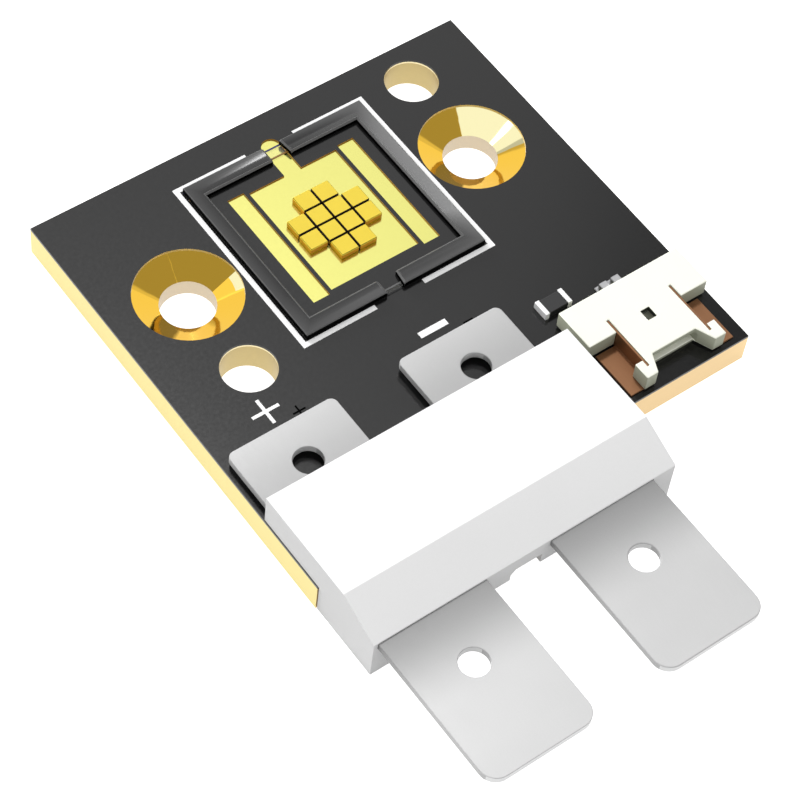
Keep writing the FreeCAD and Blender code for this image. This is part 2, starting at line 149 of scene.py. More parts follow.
def makeSky():
    world = bpy.data.worlds.new("softSky")
    scene.world = world
    world.use_nodes = True
    tree = world.node_tree
    tree.nodes.clear()
    place = makeNode(tree, "ShaderNodeTexCoord")
    along = makeNode(tree, "ShaderNodeSeparateXYZ", {0: place.outputs["Generated"]})
    azimuth = calculated(tree, "ARCTAN2", along.outputs["X"], along.outputs["Y"])
    elevation = calculated(tree, "ARCSINE", along.outputs["Z"])
    mirrored = skyLight["mirrored"]
    for turn, halfWidth, rise, halfHeight, soft, added in skyLight["panels"].values():
        mask = calculated(tree, "MULTIPLY", softBand(tree, azimuth, turn, halfWidth, soft),
                          softBand(tree, elevation, rise, halfHeight, soft))
        mirrored = calculated(tree, "MULTIPLY_ADD", mask, added, mirrored)
    rays = makeNode(tree, "ShaderNodeLightPath")
    level = ranged(tree, rays.outputs["Is Glossy Ray"], skyLight["level"], mirrored, 0.0, 1.0)
    sky = makeNode(tree, "ShaderNodeBackground", {"Color": (1.0, 1.0, 1.0, 1.0), "Strength": level})
    out = makeNode(tree, "ShaderNodeOutputWorld")
    tree.links.new(sky.outputs["Background"], out.inputs["Surface"])


def makeLamp(name, azimuth, elevation, distance, width, height, watts, lights, mirrored):
    data = bpy.data.lights.new(name, "AREA")
    data.shape = "RECTANGLE"
    data.size = width
    data.size_y = height
    data.energy = watts
    light = bpy.data.objects.new(name, data)
    way = direction(azimuth, elevation)
    light.location = way * distance
    light.rotation_euler = way.to_track_quat("Z", "Y").to_euler()
    light.visible_diffuse = lights
    light.visible_glossy = mirrored
    scene.collection.objects.link(light)


def makeFloor():
    half = floorLook["side"] / 2
    corners = [(x * half, y * half, -floorLook["drop"]) for x, y in ((-1, -1), (1, -1), (1, 1), (-1, 1))]
    mesh = bpy.data.meshes.new("floor")
    mesh.from_pydata(corners, [], [(0, 1, 2, 3)])
    floor = bpy.data.objects.new("floor", mesh)
    scene.collection.objects.link(floor)
    material = bpy.data.materials.new("paleFloor")
    material.use_nodes = True
    tree = material.node_tree
    shader = tree.nodes["Principled BSDF"]
    shader.inputs["Base Color"].default_value = (*floorLook["colour"], 1)
    shader.inputs["Roughness"].default_value = floorLook["roughness"]
    shader.inputs["Specular IOR Level"].default_value = floorLook["specular"]
    shader.inputs["Emission Color"].default_value = (1, 1, 1, 1)
    # the glow is seen, but lights nothing
    rays = makeNode(tree, "ShaderNodeLightPath")
    seen = calculated(tree, "SUBTRACT", 1.0, rays.outputs["Is Diffuse Ray"])
    glow = calculated(tree, "MULTIPLY", seen, floorLook["glow"])
    tree.links.new(glow, shader.inputs["Emission Strength"])
    # clear from below, to show the underside
    surface = makeNode(tree, "ShaderNodeNewGeometry")
    above = calculated(tree, "SUBTRACT", 1.0, surface.outputs["Backfacing"])
    tree.links.new(above, shader.inputs["Alpha"])
    mesh.materials.append(material)


makeSky()
for lampName, lampValues in lamps.items():
    makeLamp(lampName, *lampValues)
makeFloor()
scene.view_settings.view_transform = "Standard"
print("floor and lights set")


# Pieces with softened edges: the same forms as the CAD solids, with their sharp edges lightly broken
pieces = {}
chipNames = ["chip_%02d" % number for number in range(1, 13)]
softEdges = {  # node: (width of the broken edge in mm, rounding steps)
    **{name: (0.045, 1) for name in chipNames},
    "terminal_block": (0.06, 2),
    "blade_left": (0.05, 2), "blade_right": (0.05, 2),
    "connector_housing": (0.04, 2),
    "connector_tab_left": (0.02, 1), "connector_tab_right": (0.02, 1),
    "connector_contact_left": (0.03, 1), "connector_contact_right": (0.03, 1),
    "thermistor_body": (0.03, 2), "thermistor_cap_left": (0.03, 2), "thermistor_cap_right": (0.03, 2),
}
softAngles = {"sharp": 30, "flat": 0.5, "smooth": 20}  # degrees between faces
softWeld = 0.0005  # mm, points nearer to each other than this are one
blockNose = {"front": -17.7, "height": 2.8}  # mm: of the block, only the slope's lower edge is broken


def addPiece(name, mesh, *replaced):
    for face in mesh.polygons:
        face.use_smooth = True
    mesh.set_sharp_from_angle(angle=math.radians(softAngles["smooth"]))
    piece = bpy.data.objects.new(name, mesh)
    scene.collection.objects.link(piece)
    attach(piece, "root")
    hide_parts(*replaced)
    for node in replaced:
        pieces[node] = piece


def isNose(edge):
    return all(end.co.y < blockNose["front"] * millimetre and end.co.z > blockNose["height"] * millimetre
               for end in edge.verts)


def softenedPiece(name, width, steps):
    mesh = nodes[name].data.copy()
    mesh.materials.clear()
    form = bmesh.new()
    form.from_mesh(mesh)
    bmesh.ops.remove_doubles(form, verts=form.verts, dist=softWeld * millimetre)
    flat = math.radians(softAngles["flat"])
    bmesh.ops.dissolve_limit(form, angle_limit=flat, verts=form.verts, edges=form.edges)
    sharp = [edge for edge in form.edges
             if len(edge.link_faces) == 2 and edge.calc_face_angle(0) > math.radians(softAngles["sharp"])
             and (name != "terminal_block" or isNose(edge))]
    bmesh.ops.bevel(form, geom=sharp, offset=width * millimetre, offset_type="OFFSET", segments=steps,
                    profile=0.5, affect="EDGES", clamp_overlap=True)
    bmesh.ops.triangulate(form, faces=form.faces)
    form.to_mesh(mesh)
    form.free()
    if "custom_normal" in mesh.attributes:  # the CAD mesh's own normals don't fit the new faces
        mesh.attributes.remove(mesh.attributes["custom_normal"])
    addPiece(name + "_soft", mesh, name)


def closedPiece(name, corners, faces, replaced):
    # a closed form from its corners in mm, with all faces turned outwards
    mesh = bpy.data.meshes.new(name)
    mesh.from_pydata([[part * millimetre for part in corner] for corner in corners], [], faces)
    form = bmesh.new()
    form.from_mesh(mesh)
    bmesh.ops.recalc_face_normals(form, faces=form.faces)
    bmesh.ops.triangulate(form, faces=[face for face in form.faces if len(face.verts) > 4])
    form.to_mesh(mesh)
    form.free()
    addPiece(name, mesh, replaced)


for softName, softValues in softEdges.items():
    softenedPiece(softName, *softValues)
print("softened pieces made:", len(softEdges))


# Frame halves: shallow trays of moulded plastic with a fine raised rim, softly turned at the corners (mm)
frameForm = {
    "lip": 0.1,  # shares of the bar's width
    "land": 0.03,
    "break": 0.06,
    "outerTop": 2.41,
    "innerTop": 2.34,
    "lipDrop": 0.09,
    "breakDrop": 0.05,
    "dip": 0.012,  # from the lip down to the tray
    "dishSteps": 6,
    "notchInner": 0.61,
    "notchOuter": {"left": 0.65, "right": 0.45},
    "innerHalf": (4.975, 4.825),
    "outerHalf": (5.85, 5.825),
    "middle": 5.1,
    "bottom": 2.05,
    # at a notch: share along the bar, how much lower than the rim, and how much of the tray's dip it has
    "ends": [(0.0, 0.08, 0.0), (0.02, 0.0, 0.0), (0.026, 0.0, 0.0), (0.03, 0.0, 1.0)],
    "sideSteps": (0.0, 0.2, 0.8),  # shares along the side bar
}


def frameProfile(drop, dipped):
    # the cross-section from the inner foot to the outer foot, as (share of width, height)
    form = frameForm
    inner, outer = form["innerTop"], form["outerTop"]
    points = [(0.0, form["bottom"]), (0.0, inner - form["lipDrop"] - drop), (form["lip"], inner - drop)]
    first, last = form["lip"] + form["land"], 1 - form["break"]
    for step in range(form["dishSteps"] + 1):
        share = step / form["dishSteps"]
        height = inner + (outer - inner) * share - form["dip"] * (1 - share) * dipped - drop
        points.append((first + (last - first) * share, height))
    points += [(1.0, outer - form["breakDrop"] - drop), (1.0, form["bottom"])]
    return points


def framePiece(side, sign):
    # the cross-section carried along the front bar, the side bar and the rear bar
    form = frameForm
    near, far, middle = form["innerHalf"], form["outerHalf"], form["middle"]
    notch = (form["notchInner"] * sign, form["notchOuter"][side] * sign)
    innerLine = [(notch[0], middle - near[1]), (near[0] * sign, middle - near[1]),
                 (near[0] * sign, middle + near[1]), (notch[0], middle + near[1])]
    outerLine = [(notch[1], middle - far[1]), (far[0] * sign, middle - far[1]),
                 (far[0] * sign, middle + far[1]), (notch[1], middle + far[1])]
    stations = [(0, *end) for end in form["ends"]]
    stations += [(1, share, 0.0, 1.0) for share in form["sideSteps"]]
    rearEnds = [(1.0, 0.0, 1.0)] + form["ends"][::-1]
    stations += [(2, 1 - share, drop, dished) for share, drop, dished in rearEnds]
    corners, faces = [], []
    for bar, along, drop, dished in stations:
        low = Vector(innerLine[bar]).lerp(Vector(innerLine[bar + 1]), along)
        high = Vector(outerLine[bar]).lerp(Vector(outerLine[bar + 1]), along)
        for share, height in frameProfile(drop, dished):
            spot = low.lerp(high, share)
            corners.append((spot.x, spot.y, height))
    size = len(frameProfile(0.0, 1.0))
    for row in range(len(stations) - 1):
        for column in range(size):
            following = (column + 1) % size
            faces.append((row * size + column, row * size + following,
                          (row + 1) * size + following, (row + 1) * size + column))
    last = (len(stations) - 1) * size
    faces += [tuple(range(size)), tuple(range(last + size - 1, last - 1, -1))]
    closedPiece("frameTray_" + side, corners, faces, "frame_" + side)


framePiece("left", -1)
framePiece("right", 1)
print("frame halves made")


# Clear film under the frame: one thin ring with finely rounded cut edges, wider at the rear (mm)
filmForm = {
    "bottom": 2.0,
    "top": 2.05,
    "half": 5.85,
    "front": -0.725,
    "rear": 10.925,
    "sideBand": 0.5,
    "frontBand": 0.42,
    "rearBand": 0.72,
    "cut": 0.012,
}


def filmPiece():
    form = filmForm
    cut, top, bottom = form["cut"], form["top"], form["bottom"]
    outer = (form["half"], form["front"], form["rear"])
    hollow = (form["half"] - form["sideBand"],
              form["front"] + form["frontBand"], form["rear"] - form["rearBand"])
    loops = [(outer, 0, bottom), (outer, 0, top - cut), (outer, -cut, top),
             (hollow, cut, top), (hollow, 0, top - cut), (hollow, 0, bottom)]
    corners, faces = [], []
    for (half, front, rear), grown, height in loops:
        wide, near, far = half + grown, front - grown, rear + grown
        for x, y in ((-wide, near), (wide, near), (wide, far), (-wide, far)):
            corners.append((x, y, height))
    for loop in range(len(loops)):
        following = (loop + 1) % len(loops)
        for corner in range(4):
            ahead = (corner + 1) % 4
            faces.append((loop * 4 + corner, loop * 4 + ahead,
                          following * 4 + ahead, following * 4 + corner))
    closedPiece("filmRing", corners, faces, "frame_adhesive")


filmPiece()
print("film ring made")


# Shader groups that several finishes share
facingLimits = {"up": 0.95, "slant": 0.3, "across": 0.9}  # least parts of the normal along Z, Z and X


def newGroup(name, inputs, outputs):
    tree = bpy.data.node_groups.new(name, "ShaderNodeTree")
    for label, kind, value in inputs:
        socket = tree.interface.new_socket(name=label, in_out="INPUT", socket_type="NodeSocket" + kind)
        socket.default_value = value
    for label, kind in outputs:
        tree.interface.new_socket(name=label, in_out="OUTPUT", socket_type="NodeSocket" + kind)
    return tree, makeNode(tree, "NodeGroupInput"), makeNode(tree, "NodeGroupOutput")


def inMillimetres(tree):
    place = makeNode(tree, "ShaderNodeTexCoord")
    scaled = makeNode(tree, "ShaderNodeVectorMath", {0: place.outputs["Object"]}, operation="SCALE")
    scaled.inputs["Scale"].default_value = 1 / millimetre
    return scaled.outputs["Vector"]


def makeSkinGrain():
    # fine moulded or sprayed grain with slow tone changes under it
    tree, given, out = newGroup("skinGrain", [
        ("Grain per mm", "Float", 12.0), ("Blotch per mm", "Float", 0.4), ("Tone Range", "Float", 0.04)],
        [("Tone", "Float"), ("Height", "Float")])
    place = inMillimetres(tree)
    fine = makeNode(tree, "ShaderNodeTexNoise", {
        "Vector": place, "Scale": given.outputs["Grain per mm"], "Detail": 4.0, "Roughness": 0.55})
    slow = makeNode(tree, "ShaderNodeTexNoise", {
        "Vector": place, "Scale": given.outputs["Blotch per mm"], "Detail": 2.0})
    both = calculated(tree, "ADD", fine.outputs["Fac"], slow.outputs["Fac"])
    centred = calculated(tree, "SUBTRACT", both, 1.0)
    tone = calculated(tree, "MULTIPLY_ADD", centred, given.outputs["Tone Range"], 1.0)
    tree.links.new(tone, out.inputs["Tone"])
    tree.links.new(fine.outputs["Fac"], out.inputs["Height"])
    return tree


def makeDrawnGrain():
    # long fine streaks left by rolling or milling, stretched along one axis
    tree, given, out = newGroup("drawnGrain", [
        ("Streaks", "Vector", (30.0, 1.0, 30.0)), ("Tone Range", "Float", 0.05)],
        [("Tone", "Float"), ("Height", "Float")])
    stretched = makeNode(tree, "ShaderNodeVectorMath", {
        0: inMillimetres(tree), 1: given.outputs["Streaks"]}, operation="MULTIPLY")
    streak = makeNode(tree, "ShaderNodeTexNoise", {
        "Vector": stretched.outputs["Vector"], "Scale": 1.0, "Detail": 3.0, "Roughness": 0.6})
    centred = calculated(tree, "SUBTRACT", streak.outputs["Fac"], 0.5)
    tone = calculated(tree, "MULTIPLY_ADD", centred, given.outputs["Tone Range"], 1.0)
    tree.links.new(tone, out.inputs["Tone"])
    tree.links.new(streak.outputs["Fac"], out.inputs["Height"])
    return tree


def makeFacing():
    # masks for surfaces that look up, sideways, slant between the two, or look left or right
    tree, _, out = newGroup("facing", [], [
        ("Up", "Float"), ("Side", "Float"), ("Slant", "Float"), ("Across", "Float")])
    surface = makeNode(tree, "ShaderNodeNewGeometry")
    parts = makeNode(tree, "ShaderNodeSeparateXYZ", {0: surface.outputs["True Normal"]})
    tilt = calculated(tree, "ABSOLUTE", parts.outputs["Z"])
    turn = calculated(tree, "ABSOLUTE", parts.outputs["X"])
    rising = calculated(tree, "GREATER_THAN", parts.outputs["Z"], facingLimits["slant"])
    up = calculated(tree, "GREATER_THAN", parts.outputs["Z"], facingLimits["up"])
    tree.links.new(up, out.inputs["Up"])
    tree.links.new(calculated(tree, "LESS_THAN", tilt, facingLimits["slant"]), out.inputs["Side"])
    tree.links.new(calculated(tree, "SUBTRACT", rising, up), out.inputs["Slant"])
    tree.links.new(calculated(tree, "GREATER_THAN", turn, facingLimits["across"]), out.inputs["Across"])
    return tree


def makeRegion():
    # 1 inside an upright box round a middle, 0 outside
    tree, given, out = newGroup("region", [
        ("Middle mm", "Vector", (0.0, 0.0, 0.0)), ("Half Size mm", "Vector", (1.0, 1.0, 1.0))],
        [("Inside", "Float")])
    offset = makeNode(tree, "ShaderNodeVectorMath", {
        0: inMillimetres(tree), 1: given.outputs["Middle mm"]}, operation="SUBTRACT")
    away = makeNode(tree, "ShaderNodeVectorMath", {0: offset.outputs["Vector"]}, operation="ABSOLUTE")
    room = makeNode(tree, "ShaderNodeVectorMath", {
        0: given.outputs["Half Size mm"], 1: away.outputs["Vector"]}, operation="SUBTRACT")
    parts = makeNode(tree, "ShaderNodeSeparateXYZ", {0: room.outputs["Vector"]})
    least = calculated(tree, "MINIMUM", parts.outputs["X"], parts.outputs["Y"])
    least = calculated(tree, "MINIMUM", least, parts.outputs["Z"])
    tree.links.new(calculated(tree, "GREATER_THAN", least, 0.0), out.inputs["Inside"])
    return tree


skinGrain = makeSkinGrain()
drawnGrain = makeDrawnGrain()
facing = makeFacing()
region = makeRegion()
print("shader groups built")


# Finishes. In each look, grain is (grains per mm, blotches per mm, tone range), streaks is (streaks per mm
# along X, Y and Z, tone range), bump is (strength, depth in mm) and spread is how far the roughness
# strays from its middle value.
def useGroup(tree, group, inputs=None):
    node = tree.nodes.new("ShaderNodeGroup")
    node.node_tree = group
    for name, value in (inputs or {}).items():
        node.inputs[name].default_value = value
    return node


def inRegion(tree, middle, half):
    return useGroup(tree, region, {"Middle mm": middle, "Half Size mm": half}).outputs["Inside"]


def grained(tree, look):
    grain, blotch, tone = look["grain"]
    return useGroup(tree, skinGrain, {"Grain per mm": grain, "Blotch per mm": blotch, "Tone Range": tone})


def streaked(tree, look):
    streaks, tone = look["streaks"]
    return useGroup(tree, drawnGrain, {"Streaks": streaks, "Tone Range": tone})


def newFinish(name, look):
    material = bpy.data.materials.new(name)
    material.use_nodes = True
    shader = material.node_tree.nodes["Principled BSDF"]
    shader.inputs["Base Color"].default_value = (*look["colour"], 1)
    shader.inputs["Roughness"].default_value = look["roughness"]
    shader.inputs["Metallic"].default_value = look.get("metallic", 0.0)
    shader.inputs["Specular IOR Level"].default_value = look.get("specular", 0.5)
    return material, material.node_tree, shader


def toned(tree, colour, tone):
    return blended(tree, 1.0, colour, tone, "MULTIPLY")


def roughened(tree, shader, height, look):
    low, high = look["roughness"] - look["spread"], look["roughness"] + look["spread"]
    tree.links.new(ranged(tree, height, low, high), shader.inputs["Roughness"])


def bumped(tree, shader, height, look):
    strength, depth = look["bump"]
    node = makeNode(tree, "ShaderNodeBump", {
        "Height": height, "Strength": strength, "Distance": depth * millimetre})
    tree.links.new(node.outputs["Normal"], shader.inputs["Normal"])


def oneToneFinish(name, look):
    material, tree, shader = newFinish(name, look)
    grain = streaked(tree, look) if "streaks" in look else grained(tree, look)
    tree.links.new(toned(tree, look["colour"], grain.outputs["Tone"]), shader.inputs["Base Color"])
    bumped(tree, shader, grain.outputs["Height"], look)
    return material


def dress(material, *names):
    for name in names:
        owner = pieces.get(name, nodes[name])
        if not owner.material_slots:
            owner.data.materials.append(material)
        for slot in owner.material_slots:
            slot.material = material


# The middles of the two countersunk holes (mm)
screwHoles = {"left": (-9.375, 5.1, 1.0), "right": (9.375, 5.1, 1.0)}


# Solder mask over the board, with plated walls where it opens over the gold lands
maskLook = {
    "colour": (0.0075, 0.0075, 0.0076),
    "grain": (5.0, 0.15, 0.12),
    "roughness": 0.16,
    "spread": 0.02,
    "bump": (0.08, 0.003),
    "wall": (0.0015, 0.0015, 0.0015),
    "openingWall": (0.42, 0.2, 0.02),
    "opening": ((0.0, 5.1, 2.0), (4.4, 6.7, 1.0)),  # middle and half size (mm)
    "mouthWall": (0.75, 0.55, 0.16),
    "mouthHalf": (3.05, 3.05, 1.0),
}


def makeMaskFinish():
    material, tree, shader = newFinish("solderMask", maskLook)
    grain = grained(tree, maskLook)
    faces = useGroup(tree, facing)
    opening = inRegion(tree, *maskLook["opening"])
    walls = blended(tree, opening, maskLook["wall"], maskLook["openingWall"])
    for middle in screwHoles.values():
        walls = blended(tree, inRegion(tree, middle, maskLook["mouthHalf"]), walls, maskLook["mouthWall"])
    tops = toned(tree, maskLook["colour"], grain.outputs["Tone"])
    tree.links.new(blended(tree, faces.outputs["Side"], tops, walls), shader.inputs["Base Color"])
    roughened(tree, shader, grain.outputs["Height"], maskLook)
    bumped(tree, shader, grain.outputs["Height"], maskLook)
    return material


dress(makeMaskFinish(), "circuit_layer")


# Copper core under the mask: milled plated sides with a painted highlight round the tops of the bores,
# turned countersinks as bright as mirrors with painted reflections and painted shade in sectors of their
# walls
coreLook = {
    "colour": (0.66, 0.56, 0.225),
    "streaks": ((2.0, 2.0, 16.0), 0.08),
    "roughness": 0.42,
    "metallic": 1.0,
    "endColour": (0.67, 0.49, 0.25),
    "boreColour": (0.55, 0.44, 0.21),
    "bores": ((0.0, 0.0, 0.0), (13.9, 13.15, 3.0)),  # middle and half size (mm)
    "screwBoreColour": (0.57, 0.48, 0.35),
    "screwBoreHalf": (1.6, 1.6, 3.0),
    # painted highlight: a pale band round the bore walls just under their top
    "rimHighlightColour": (0.95, 0.85, 0.55),
    "rim": ((0.0, 0.0, 1.8), (13.9, 13.15, 0.06)),
    "sinkColour": (0.93, 0.57, 0.065),
    # painted reflection: a countersink wall takes this pale colour only where it is seen mirrored in the
    # opposite wall
    "sinkPaintedReflection": (1.0, 0.95, 0.85),  # as one wall of the countersink shows in the opposite one
    "sinkRoughness": 0.05,
    "sinkHalf": 3.05,  # half size of the box round a countersink, its top, depth and slanted width (mm)
    "sinkTop": 2.0,
    "sinkDepth": 0.8,
    "sinkWidth": 1.45,
    # painted shade and painted reflections in sectors: hole, azimuth it looks to, half width and soft edge
    # (degrees), lowest height (mm), colour
    "sinkPaintedSectors": {
        "leftPaintedShade": ("left", 230.625, 37.86, 0.96, 0.0, (0.34, 0.21, 0.024)),
        "leftPaintedReflection": ("left", 281.5, 11.13, 0.88, 1.61, (0.86, 0.8, 0.46)),
        "rightPaintedReflection": ("right", 247.505, 46.99, 0.97, 0.0, (0.86, 0.8, 0.46)),
    },
}


def makePaintedSector(tree, normal, hole, azimuth, halfWidth, soft, low):
    # 1 where a countersink's wall looks to the azimuth, within the half width and above the lowest height:
    # the mask of one sector of painted colour
    x, y, _ = screwHoles[hole]
    half, top = coreLook["sinkHalf"], coreLook["sinkTop"]
    inHole = inRegion(tree, (x, y, top), (half, half, top - low))
    level = makeNode(tree, "ShaderNodeVectorMath", {
        0: normal, 1: direction(azimuth, 0)}, operation="DOT_PRODUCT")
    lean = coreLook["sinkDepth"] / math.hypot(coreLook["sinkDepth"], coreLook["sinkWidth"])
    least = lean * math.cos(math.radians(halfWidth + soft))
    most = lean * math.cos(math.radians(halfWidth))
    looking = ranged(tree, level.outputs["Value"], 0.0, 1.0, least, most)
    return calculated(tree, "MULTIPLY", inHole, looking)


def makeCoreFinish():
    material, tree, shader = newFinish("platedCore", coreLook)
    faces = useGroup(tree, facing)
    milled = streaked(tree, coreLook)
    sides = blended(tree, faces.outputs["Across"], coreLook["endColour"], coreLook["colour"])
    # the bore walls with their painted highlight band
    bore = blended(tree, inRegion(tree, *coreLook["rim"]), coreLook["boreColour"], coreLook["rimHighlightColour"])
    for middle in screwHoles.values():
        screwBore = inRegion(tree, middle, coreLook["screwBoreHalf"])
        bore = blended(tree, screwBore, bore, coreLook["screwBoreColour"])
    inBore = calculated(tree, "MULTIPLY", inRegion(tree, *coreLook["bores"]), faces.outputs["Side"])
    walls = toned(tree, blended(tree, inBore, sides, bore), milled.outputs["Tone"])
    normal = makeNode(tree, "ShaderNodeNewGeometry").outputs["Normal"]
    paintedSinks = coreLook["sinkColour"]
    # painted shade in one sector of the left countersink, painted reflections in pale sectors of both
    for *place, colour in coreLook["sinkPaintedSectors"].values():
        paintedSinks = blended(tree, makePaintedSector(tree, normal, *place), paintedSinks, colour)
    # painted reflection: seen in a mirror, the countersink walls are pale
    rays = makeNode(tree, "ShaderNodeLightPath")
    paintedSinks = blended(tree, rays.outputs["Is Glossy Ray"], paintedSinks, coreLook["sinkPaintedReflection"])
    tree.links.new(blended(tree, faces.outputs["Slant"], walls, paintedSinks), shader.inputs["Base Color"])
    dull, bright = coreLook["roughness"], coreLook["sinkRoughness"]
    tree.links.new(ranged(tree, faces.outputs["Slant"], dull, bright, 0.0, 1.0), shader.inputs["Roughness"])
    return material


dress(makeCoreFinish(), "base_plate")


# Gold lands: pale plating, browner at the edges
landLook = {
    "colour": (0.8, 0.775, 0.235),
    "grain": (9.0, 0.3, 0.02),
    "roughness": 0.165,
    "spread": 0.015,
    "metallic": 1.0,
    "edge": (0.5, 0.24, 0.02),
}


def makeLandFinish():
    material, tree, shader = newFinish("landPlating", landLook)
    grain = grained(tree, landLook)
    faces = useGroup(tree, facing)
    tops = toned(tree, landLook["colour"], grain.outputs["Tone"])
    skin = blended(tree, faces.outputs["Side"], tops, landLook["edge"])
    tree.links.new(skin, shader.inputs["Base Color"])
    roughened(tree, shader, grain.outputs["Height"], landLook)
    return material


dress(makeLandFinish(), "die_pad", "strip_pad_left", "strip_pad_right")
print("board and lands finished")


# Light-emitting chips: phosphor tops, sides painted brown as painted shade, and painted shade near black in
# the gaps between them
chipLook = {
    "colour": (0.745, 0.56, 0.032),
    "grain": (26.0, 1.1, 0.07),
    "roughness": 0.5,
    "specular": 0.3,
    "bump": (0.12, 0.004),
    # painted shade: the sides are brown, a little lighter on the sides that face along X
    "side": (0.56, 0.26, 0.018),
    "shadedSideAcross": (0.64, 0.32, 0.006),
    # painted shade: near black on the sides within the gaps between the chips
    "gap": (0.012, 0.005, 0.001),
    "gapFields": [((-0.05, 4.95, 2.1), (2.32, 1.12, 1.0)), ((-0.05, 4.95, 2.1), (1.13, 2.31, 1.0))],
}


def makeChipFinish():
    material, tree, shader = newFinish("phosphorChip", chipLook)
    grain = grained(tree, chipLook)
    faces = useGroup(tree, facing)
    fields = [inRegion(tree, middle, half) for middle, half in chipLook["gapFields"]]
    notUp = calculated(tree, "SUBTRACT", 1.0, faces.outputs["Up"])
    # painted shade in the gaps between the chips
    inShadedGap = calculated(tree, "MULTIPLY", calculated(tree, "MAXIMUM", *fields), notUp)
    tops = toned(tree, chipLook["colour"], grain.outputs["Tone"])
    sides = blended(tree, faces.outputs["Across"], chipLook["side"], chipLook["shadedSideAcross"])
    skin = blended(tree, faces.outputs["Side"], tops, sides)
    tree.links.new(blended(tree, inShadedGap, skin, chipLook["gap"]), shader.inputs["Base Color"])
    bumped(tree, shader, grain.outputs["Height"], chipLook)
    return material


dress(makeChipFinish(), *chipNames)


# Frame round the chips: black moulded plastic, darkest on its walls as painted shade, with painted light
# growing towards the outer edge of its tops and a painted highlight on its bevels
frameLook = {
    "colour": (0.02, 0.02, 0.0202),
    "grain": (14.0, 0.5, 0.12),
    "roughness": 0.27,
    "bump": (0.1, 0.004),
    # painted highlight on the bevels
    "bevelHighlight": (0.1, 0.1, 0.1),
    # painted shade: the walls are near black
    "wall": (0.0008, 0.0008, 0.0008),
    "wallRoughness": 0.8,
    "middle": (0.0, 5.1, 0.0),
    "half": (5.85, 5.825, 10.0),
    # painted shade and light across the tops: darker at the inner edge, lighter at the outer edge
    "paintedLightAcross": (0.4, 2.4, 0.86, 1.0),  # tone at the inner and outer edge, and those edges as shares of half
}


def makeFrameFinish():
    material, tree, shader = newFinish("framePlastic", frameLook)
    grain = grained(tree, frameLook)
    faces = useGroup(tree, facing)
    offset = makeNode(tree, "ShaderNodeVectorMath", {
        0: inMillimetres(tree), 1: frameLook["middle"]}, operation="SUBTRACT")
    share = makeNode(tree, "ShaderNodeVectorMath", {
        0: offset.outputs["Vector"], 1: frameLook["half"]}, operation="DIVIDE")
    away = makeNode(tree, "ShaderNodeVectorMath", {0: share.outputs["Vector"]}, operation="ABSOLUTE")
    parts = makeNode(tree, "ShaderNodeSeparateXYZ", {0: away.outputs["Vector"]})
    outward = calculated(tree, "MAXIMUM", parts.outputs["X"], parts.outputs["Y"])
    # painted shade and light across the bar's top
    paintedLightAcross = ranged(tree, outward, *frameLook["paintedLightAcross"])
    tops = toned(tree, toned(tree, frameLook["colour"], grain.outputs["Tone"]), paintedLightAcross)
    # painted highlight on the bevels
    tops = blended(tree, faces.outputs["Slant"], tops, frameLook["bevelHighlight"])
    side = faces.outputs["Side"]
    # painted shade on the walls
    tree.links.new(blended(tree, side, tops, frameLook["wall"]), shader.inputs["Base Color"])
    rough = ranged(tree, side, frameLook["roughness"], frameLook["wallRoughness"], 0.0, 1.0)
    tree.links.new(rough, shader.inputs["Roughness"])
    tree.links.new(side, shader.inputs["Metallic"])  # keeps the walls from mirroring the lands
    bumped(tree, shader, grain.outputs["Height"], frameLook)
    return material


dress(makeFrameFinish(), "frame_left", "frame_right")


# The film is nearly clear, and each of its cut edges gets a fine band: painted shade on both rear edges and
# the outer front edge, a painted highlight on the inner front edge
filmLook = {
    "colour": (0.9, 0.9, 0.86),
    "grain": (6.0, 0.6, 0.05),
    "roughness": 0.12,
    "clear": 0.05,
    "edgeCover": 0.9,
    "bandLength": 9.0,  # half sizes along X and Z (mm)
    "bandHeight": 1.0,
    # bands of painted shade, and one of painted highlight, along the cut edges
    "cutEdges": {  # middle along Y, half width and colour of each band (mm)
        "rearOuter": (10.88, 0.055, (0.03, 0.03, 0.12)),
        "rearInner": (10.25, 0.05, (0.25, 0.13, 0.03)),
        "frontInner": (-0.35, 0.05, (0.12, 0.12, 0.12)),
        "frontOuter": (-0.68, 0.055, (0.001, 0.001, 0.001)),
    },
}


def makeFilmFinish():
    material, tree, shader = newFinish("clearFilm", filmLook)
    grain = grained(tree, filmLook)
    tone = toned(tree, filmLook["colour"], grain.outputs["Tone"])
    cover = filmLook["clear"]
    for line, half, colour in filmLook["cutEdges"].values():
        band = inRegion(tree, (0.0, line, filmForm["bottom"]),
                        (filmLook["bandLength"], half, filmLook["bandHeight"]))
        # painted shade or painted highlight on this cut edge, as its band gives
        tone = blended(tree, band, tone, colour)
        cover = calculated(tree, "MULTIPLY_ADD", band, filmLook["edgeCover"], cover)
    tree.links.new(tone, shader.inputs["Base Color"])
    # the gold under it doesn't mirror the film
    rays = makeNode(tree, "ShaderNodeLightPath")
    unmirrored = calculated(tree, "SUBTRACT", 1.0, rays.outputs["Is Glossy Ray"])
    tree.links.new(calculated(tree, "MULTIPLY", cover, unmirrored), shader.inputs["Alpha"])
    return material


dress(makeFilmFinish(), "frame_adhesive")
print("chips, frame and film finished")


# Printed marks: white and black ink, slightly uneven
inkLook = {
    "white": {"colour": (0.92, 0.92, 0.92), "grain": (10.0, 1.5, 0.06),
              "roughness": 0.55, "bump": (0.2, 0.004)},
    "black": {"colour": (0.002, 0.002, 0.002), "grain": (10.0, 1.5, 0.06),
              "roughness": 0.7, "metallic": 1.0, "bump": (0.2, 0.004)},
}
dress(oneToneFinish("whiteInk", inkLook["white"]), "outline_print_left", "outline_print_right",
      "plus_print", "minus_print")
dress(oneToneFinish("blackInk", inkLook["black"]), "small_plus_print", "small_minus_print")


